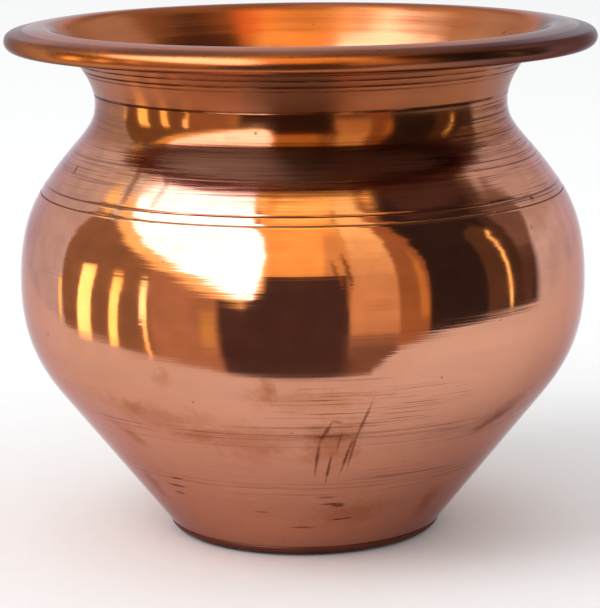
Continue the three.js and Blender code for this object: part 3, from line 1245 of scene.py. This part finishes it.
@dataclass
class Studio:
    """Pale sheet that the vessel stands on, the soft lamp and the room that the copper mirrors."""

    ambient: float = 0.85
    lamp_power: float = 25.0
    lamp_size: float = 1.6
    lamp_azimuth: float = -58.0
    lamp_elevation: float = 46.0
    lamp_distance: float = 2.6
    sheet_size: float = 6.0
    sheet_tone: Colour = (0.955, 0.96, 0.965)
    sheet_grain: Grain = Grain(300.0)
    sheet_tones: tuple[float, ...] = (0.2, 0.8, 0.985, 1.0)
    sheets: tuple[Corners, ...] = (
        ((-420, 2400), (-230, 120), (-193, 40), (-152, -41), (-84, -82), (-58, -91), (37, -91), (37, 2400)),
        (
            *((37, 2400), (37, -95), (85, -132), (134, -136), (175, -131)),
            *((246, -81), (272, -35), (287, 21), (900, 2400)),
        ),
    )
    dark: Colour = (0.04, 0.028, 0.026)
    ceiling: Colour = (0.62, 0.36, 0.17)
    ceiling_edge: tuple[float, float] = (58, 70)
    backdrop_edge: tuple[float, float] = (105, 111)
    backdrop: tuple[tuple[float, Colour], ...] = (
        (14, (0.88, 0.95, 1.05)),
        (34, (0.86, 0.9, 0.9)),
        (52, (0.8, 0.62, 0.42)),
    )
    mottle_grain: Grain = Grain(7.0)
    mottle: tuple[float, ...] = (0.3, 0.7, 0.9, 1.08)
    panels: tuple[Panel, ...] = (
        *BEHIND_THE_VESSEL,
        *OVERHEAD,
        *LEFT_WALL,
        *MIDDLE_WALL,
        *WINDOW_AND_THIN_STROKES,
        *BRIGHT_STRIP,
        *RIGHT_WALL,
        *NARROW_BARS,
    )

    def build(self) -> None:
        """Lays the sheet, hangs the lamp and paints the room."""
        finish = self._sheet_finish()
        for number, corners in enumerate(self.sheets, 1):
            self._lay_sheet(f"pale_sheet_{number}", corners, finish)
        self._hang_lamp()
        self._paint_room()

    def _lay_sheet(self, name: str, corners: Corners, finish: bpy.types.Material) -> None:
        """Lays one part of the sheet.

        Args:
            name: its name.
            corners: its corners on the ground, in order.
            finish: its material.
        """
        deselect()
        bpy.ops.mesh.primitive_plane_add(size=self.sheet_size)
        sheet = bpy.context.object
        sheet.name = name
        middle = np.mean(corners, axis=0)
        bpy.ops.object.mode_set(mode="EDIT")
        for here, there in zip(corners, corners[1:] + corners[:1]):
            outward = np.array([there[1] - here[1], here[0] - there[0]], dtype=float)
            outward *= np.sign(outward @ (here - middle)) / np.hypot(*outward)
            bpy.ops.mesh.select_all(action="SELECT")
            bpy.ops.mesh.bisect(
                plane_co=(here[0] * MM, here[1] * MM, 0.0),
                plane_no=(*outward, 0.0),
                clear_outer=True,
            )
        bpy.ops.object.mode_set(mode="OBJECT")
        sheet.data.materials.append(finish)

    def _sheet_finish(self) -> bpy.types.Material:
        """Mixes the matt white of the sheet, with a slight grain.

        Returns:
            Its material.
        """
        material = bpy.data.materials.new("pale_sheet")
        material.use_nodes = True
        graph = Graph(material.node_tree)
        place = graph.add("ShaderNodeTexCoord").outputs["Object"]
        grain = graph.ramp(graph.noise(place, self.sheet_grain), *self.sheet_tones)
        shader = graph.add("ShaderNodeBsdfDiffuse", {"Color": graph.toned(self.sheet_tone, grain)})
        graph.add("ShaderNodeOutputMaterial", {"Surface": shader.outputs[0]})
        return material

    def _hang_lamp(self) -> None:
        """Hangs a large soft lamp to the left, which the metal doesn't mirror."""
        data = bpy.data.lights.new("soft_lamp", "AREA")
        data.energy, data.size = self.lamp_power, self.lamp_size
        lamp = bpy.data.objects.new("soft_lamp", data)
        bpy.context.scene.collection.objects.link(lamp)
        azimuth, elevation = math.radians(self.lamp_azimuth), math.radians(self.lamp_elevation)
        level = math.cos(elevation)
        towards = Vector((math.sin(azimuth) * level, -math.cos(azimuth) * level, math.sin(elevation)))
        lamp.location = towards * self.lamp_distance
        lamp.rotation_mode = "QUATERNION"
        lamp.rotation_quaternion = towards.to_track_quat("Z", "Y")
        lamp.visible_glossy = False

    def _paint_room(self) -> None:
        """Fills the world: white to the camera, soft white on the sheet, the room in the metal."""
        world = bpy.data.worlds.new("room")
        bpy.context.scene.world = world
        world.use_nodes = True
        graph = Graph(world.node_tree)
        direction = graph.add("ShaderNodeTexCoord").outputs["Generated"]
        x, y, z = graph.add("ShaderNodeSeparateXYZ", {0: direction}).outputs
        azimuth = graph.times(graph.turn(x, y), DEGREES)
        elevation = graph.times(graph.math("ARCSINE", z), DEGREES)
        room = self._walls(graph, azimuth, elevation)
        for panel in self.panels:
            room = panel.paint(graph, azimuth, elevation, room)
        mottle = graph.ramp(graph.noise(direction, self.mottle_grain), *self.mottle)
        room = graph.toned(room, mottle)
        rays = graph.add("ShaderNodeLightPath").outputs
        mirrored = graph.most(rays["Is Glossy Ray"], rays["Is Transmission Ray"])
        soft = (self.ambient, self.ambient, self.ambient)
        room = graph.mix(mirrored, soft, room)
        room = graph.mix(rays["Is Camera Ray"], room, WHITE)
        light = graph.add("ShaderNodeBackground", {"Color": room, "Strength": 1.0})
        graph.add("ShaderNodeOutputWorld", {"Surface": light.outputs[0]})

    def _walls(self, graph: Graph, azimuth: Socket, elevation: Socket) -> Socket:
        """Paints the dark room with its ceiling and the backdrop behind the vessel.

        Args:
            graph: the world's nodes.
            azimuth: azimuth of the direction, in degrees.
            elevation: elevation of the direction, in degrees.

        Returns:
            Colour of the room without its panels.
        """
        room = graph.mix(graph.ramp(elevation, *self.ceiling_edge), self.dark, self.ceiling)
        (low, pale), (middle, warm), (high, dim) = self.backdrop
        behind = graph.mix(graph.ramp(elevation, low, middle), pale, warm)
        behind = graph.mix(graph.ramp(elevation, middle, high), behind, dim)
        return graph.mix(graph.ramp(graph.math("ABSOLUTE", azimuth), *self.backdrop_edge), room, behind)


@dataclass(frozen=True)
class PhotoCamera:
    """Hand-held camera in front of the vessel, a little above its mouth."""

    place: Place = (-0.55, -452.1, 127.0)
    pitch: float = -10.98
    roll: float = 0.58
    lens: float = 157.03
    sensor: float = 36.0
    near: float = 10.0

    def build(self) -> None:
        """Sets up the camera."""
        data = bpy.data.cameras.new("photo_camera")
        data.lens, data.sensor_width, data.sensor_fit = self.lens, self.sensor, "HORIZONTAL"
        data.clip_start = self.near * MM
        camera = bpy.data.objects.new("photo_camera", data)
        bpy.context.scene.collection.objects.link(camera)
        camera.location = tuple(c * MM for c in self.place)
        camera.rotation_mode = "QUATERNION"
        tilt = Quaternion((1, 0, 0), math.radians(RIGHT_ANGLE + self.pitch))
        spin = Quaternion((0, 0, 1), math.radians(-self.roll))
        camera.rotation_quaternion = tilt @ spin
        bpy.context.scene.camera = camera


POLISHING = (
    Brushing(3300.0, 12.0, 0.006),
    Brushing(4600.0, 55.0, 0.005, 0.1),
    Brushing(700.0, 8.0, 0.024),
)
TURNING = (
    Brushing(2900.0, 16.0, 0.008, 0.08),
    Brushing(4600.0, 55.0, 0.007, 0.16),
    Brushing(800.0, 8.0, 0.026),
)


def marks(kind: MarkKind, *rows: tuple[float, ...]) -> tuple[Mark, ...]:
    """Marks of one kind, each from its azimuth, height, half sizes, lean and strength."""
    return tuple(Mark(kind, *row) for row in rows)


BELLY_MARKS = (
    *marks(
        MarkKind.STAIN,
        (-32, 28.0, 20.0, 7.0, -8, 0.5),
        (-14, 24.0, 14.0, 6.0, 6, 0.5),
        (-38, 29.5, 6.5, 3.6, 20, 0.8),
        (-46, 23.5, 7.5, 2.8, -35, 0.75),
        (-24, 25.4, 9.0, 2.4, 4, 0.75),
        (-9, 23.0, 5.0, 2.6, 20, 0.65),
        (-7, 34.2, 3.6, 4.0, 40, 0.8),
        (-28, 36.0, 4.0, 3.0, 60, 0.5),
        (2, 33.0, 16.0, 4.0, 0, 0.5),
        (6, 24.5, 8.0, 8.0, 0, 0.75),
        (50, 26.5, 11.0, 3.4, 25, 0.9),
        (44, 9.0, 6.0, 6.0, 60, 0.8),
        (16, 9.0, 16.0, 5.0, 0, 0.6),
        (-53, 12.5, 3.6, 4.4, 30, 0.9),
        (7.4, 24.8, 3.2, 2.2, 0, 0.8),
    ),
    *marks(
        MarkKind.SMEAR,
        (48, 24.8, 5.0, 0.9, 22, 0.6),
        (2.9, 21.6, 0.42, 4.4, -5, 0.9),
        (4.4, 26.6, 0.45, 3.2, -26, 0.85),
        (6.4, 28.7, 1.4, 0.4, -20, 0.5),
        (5.9, 19.4, 0.4, 3.8, -6, 0.9),
        (7.6, 24.6, 0.34, 3.0, -8, 0.55),
        (9.9, 21.8, 0.42, 4.6, -11, 0.9),
        (11.0, 23.2, 0.36, 5.0, -5, 0.8),
        (12.2, 28.6, 0.36, 4.4, -14, 0.75),
    ),
    *marks(
        MarkKind.SCUFF,
        (14, 31.5, 16.0, 5.0, 0, 0.7),
        (8, 26.6, 20.0, 2.6, 0, 0.5),
        (-24, 26.0, 22.0, 1.4, 0, 0.4),
        (0, 14.2, 26.0, 1.6, 0, 0.45),
        (40, 24.5, 14.0, 2.0, 0, 0.75),
        (30, 16.0, 16.0, 3.0, 0, 0.5),
    ),
    *marks(
        MarkKind.GRIME,
        (-39, 14.9, 2.6, 0.25, 3, 0.85),
        (-41, 13.2, 2.9, 0.27, 0, 0.85),
        (-42, 11.6, 2.0, 0.25, -4, 0.75),
        (5.0, 25.8, 5.5, 0.24, 0, 0.8),
        (8, 11.4, 3.8, 0.27, 0, 0.85),
        (10, 11.0, 2.0, 0.4, 0, 0.8),
        (6, 12.9, 3.0, 0.22, 0, 0.6),
        (12, 8.0, 3.8, 0.22, 2, 0.75),
        (-1, 6.4, 4.2, 0.2, 0, 0.7),
        (-14, 9.6, 2.4, 0.2, 0, 0.5),
    ),
)
SHOULDER_MARKS = (
    # painted dark reflection in the middle of the shoulder, below the neck
    Mark(MarkKind.PAINTED_SHADE_AND_REFLECTION, 0.5, 73.4, 4.6, 4.2, 0, 0.6),
    *marks(
        MarkKind.SCUFF,
        (66, 69.0, 30.0, 6.5, 0, 0.75),
        (62, 61.8, 22.0, 1.6, 0, 0.8),
        (66, 74.5, 22.0, 3.0, 0, 0.85),
        (-66, 74.0, 20.0, 3.5, 0, 0.3),
        (-60, 67.0, 24.0, 5.0, 0, 0.45),
        (0, 68.0, 40.0, 6.0, 0, 0.4),
        (150, 68.0, 40.0, 6.0, 0, 0.6),
    ),
    *marks(
        MarkKind.GRIME,
        (-66.5, 65.8, 0.5, 0.9, 20, 1.0),
        (58, 61.4, 0.8, 0.6, 0, 0.9),
    ),
)


SCATTERED_SIZES = {
    MarkKind.STAIN: (6.0, 3.4),
    MarkKind.SMEAR: (0.6, 3.2),
    MarkKind.GRIME: (1.6, 0.3),
    MarkKind.SCUFF: (20.0, 1.6),
}
SIDES_AND_BACK = (78, 282)
SIZE_SPREAD = (0.7, 1.4)
LEANS = (-25, 25)
STRENGTHS = (0.5, 0.8)


def scattered(count: int, heights: tuple[float, float], seed: int) -> tuple[Mark, ...]:
    """Scatters marks of wear over the sides and the back.

    Args:
        count: how many.
        heights: lowest and highest.
        seed: start of the random numbers.

    Returns:
        The marks.
    """
    chance = np.random.default_rng(seed)
    kinds = tuple(SCATTERED_SIZES)
    found = []
    for number in range(count):
        kind = kinds[number % len(kinds)]
        width, height = (size * chance.uniform(*SIZE_SPREAD) for size in SCATTERED_SIZES[kind])
        azimuth, level = chance.uniform(*SIDES_AND_BACK), chance.uniform(*heights)
        azimuth -= 4 * RIGHT_ANGLE if azimuth > 2 * RIGHT_ANGLE else 0
        lean = chance.uniform(*LEANS) if kind in (MarkKind.STAIN, MarkKind.SMEAR) else 0
        found.append(Mark(kind, azimuth, level, width, height, lean, chance.uniform(*STRENGTHS)))
    return tuple(found)


COPPER = (0.67, 0.31, 0.2)

BELLY = MetalFinish(
    "belly_copper",
    metal=COPPER,
    roughness=0.075,
    anisotropy=0.7,
    brushings=POLISHING,
    tarnished=0.22,
    marks=BELLY_MARKS + scattered(16, heights=(8.0, 46.0), seed=21),
    # painted shade: the belly darkens towards the base, where it mirrors the shaded floor by the foot
    fade=Fade(full=5.0, gone=30.0, tint=(0.76, 0.69, 0.65)),
    dirty_lines=((14.8, 0.3), (15.7, 0.2), (23.6, 0.2), (25.2, 0.3), (26.1, 0.42)),
)
SHOULDER = MetalFinish(
    "shoulder_copper",
    metal=COPPER,
    roughness=0.09,
    anisotropy=0.75,
    brushings=TURNING,
    tarnished=0.2,
    marks=SHOULDER_MARKS + scattered(8, heights=(62.5, 70.0), seed=22),
    fade=Fade(full=72.0, gone=68.5, tint=(0.62, 0.53, 0.38), roughness=0.03),
    dirty_lines=((61.9, 0.8), (77.1, 1.0)),
)
NECK = MetalFinish(
    "neck_satin",
    metal=(0.49, 0.168, 0.072),
    roughness=0.28,
    anisotropy=1.0,
    brushings=TURNING,
    edge=(0.68, 0.7, 0.75),
    # painted shade on the right side of the neck
    marks=(Mark(MarkKind.PAINTED_SHADE_AND_REFLECTION, 80, 80.0, 16.0, 6.0, 0, 0.3),),
    dirty_lines=((77.3, 1.0), (80.8, 0.6), (81.5, 1.0), (82.6, 0.95), (83.6, 0.7)),
)
# Underside of the lip: its near-black colour is painted shade, and the pale smear colour of its mark is a
# painted reflection of the pale sheet on the left side.
UNDERSIDE_IN_PAINTED_SHADE = MetalFinish(
    "lip_underside_in_painted_shade",
    metal=(0.1, 0.06, 0.05),
    roughness=0.42,
    anisotropy=0.5,
    brushings=TURNING,
    tarnish=(0.5, 0.52, 0.5),
    tarnished=0.15,
    smear=(0.5, 0.56, 0.58),
    marks=(Mark(MarkKind.PAINTED_SHADE_AND_REFLECTION, -58, 86.0, 32.0, 40.0),),
)
LIP = MetalFinish(
    "lip_copper",
    metal=(0.5, 0.17, 0.06),
    roughness=0.24,
    anisotropy=0.6,
    brushings=TURNING,
    tarnish=(0.3, 0.1, 0.05),
    smear=(0.12, 0.05, 0.042),
    edge=(0.5, 0.44, 0.45),
    marks=(
        # painted shade: the lip darkened at both ends and along its lower edge; the smear colour serves
        # these and the real smears below
        *marks(
            MarkKind.PAINTED_SHADE_AND_REFLECTION,
            (88, 86.5, 40.0, 30.0, 0, 0.95),
            (-92, 86.5, 16.0, 30.0, 0, 0.45),
            (0, 84.3, 400.0, 0.7, 0, 0.8),
        ),
        *marks(
            MarkKind.SMEAR,
            (-84, 86.4, 7.0, 1.2, 0, 0.6),
            (-66, 85.4, 9.0, 0.8, 0, 0.6),
            (-50, 87.6, 12.0, 0.7, 0, 0.5),
            (-24, 87.9, 16.0, 0.6, 0, 0.5),
            (16, 87.7, 16.0, 0.6, 0, 0.5),
        ),
    ),
)
MOUTH = MetalFinish(
    "mouth_copper",
    metal=(0.56, 0.2, 0.09),
    roughness=0.19,
    anisotropy=0.75,
    brushings=TURNING,
    # the smear colour serves only the mark below, which is painted shade on the right end of the mouth's
    # top
    smear=(0.16, 0.08, 0.07),
    edge=(0.57, 0.46, 0.44),
    marks=(Mark(MarkKind.PAINTED_SHADE_AND_REFLECTION, 72, 88.6, 17.0, 1.3, 0, 0.85),),
)
HOLLOW = MetalFinish(
    "hollow_copper",
    metal=(0.52, 0.21, 0.11),
    roughness=0.3,
    anisotropy=0.4,
    brushings=TURNING,
    tarnished=0.6,
)
# Dark copper of the base: tarnish, and painted shade where it meets the floor
BASE_COPPER = MetalFinish(
    "base_copper",
    metal=(0.17, 0.055, 0.036),
    roughness=0.38,
    anisotropy=0.4,
    brushings=TURNING,
    tarnish=(0.12, 0.04, 0.025),
    tarnished=0.7,
)
DRAWN_WIRE = MetalFinish(
    "drawn_wire",
    metal=(0.5, 0.2, 0.11),
    roughness=0.35,
    anisotropy=0.3,
    brushings=POLISHING,
)
BRAZE_ALLOY = MetalFinish(
    "braze_alloy",
    metal=(0.3, 0.16, 0.08),
    roughness=0.42,
    anisotropy=0.0,
    brushings=POLISHING,
    tarnish=(0.18, 0.08, 0.035),
    tarnished=0.6,
)


def main() -> None:
    """Builds the vessel, the studio and the camera."""
    logging.basicConfig(level=logging.INFO, format="%(message)s")
    bpy.context.scene.view_settings.view_transform = "Standard"
    wall, spinner, lap = Wall(), Spinner(), Lap()
    for part in (MouthAndNeck(wall, spinner), Belly(wall, spinner, lap), Base(wall, spinner, lap)):
        part.build()
        part.dress()
    Studio().build()
    PhotoCamera().build()


if __name__ == "__main__":
    main()
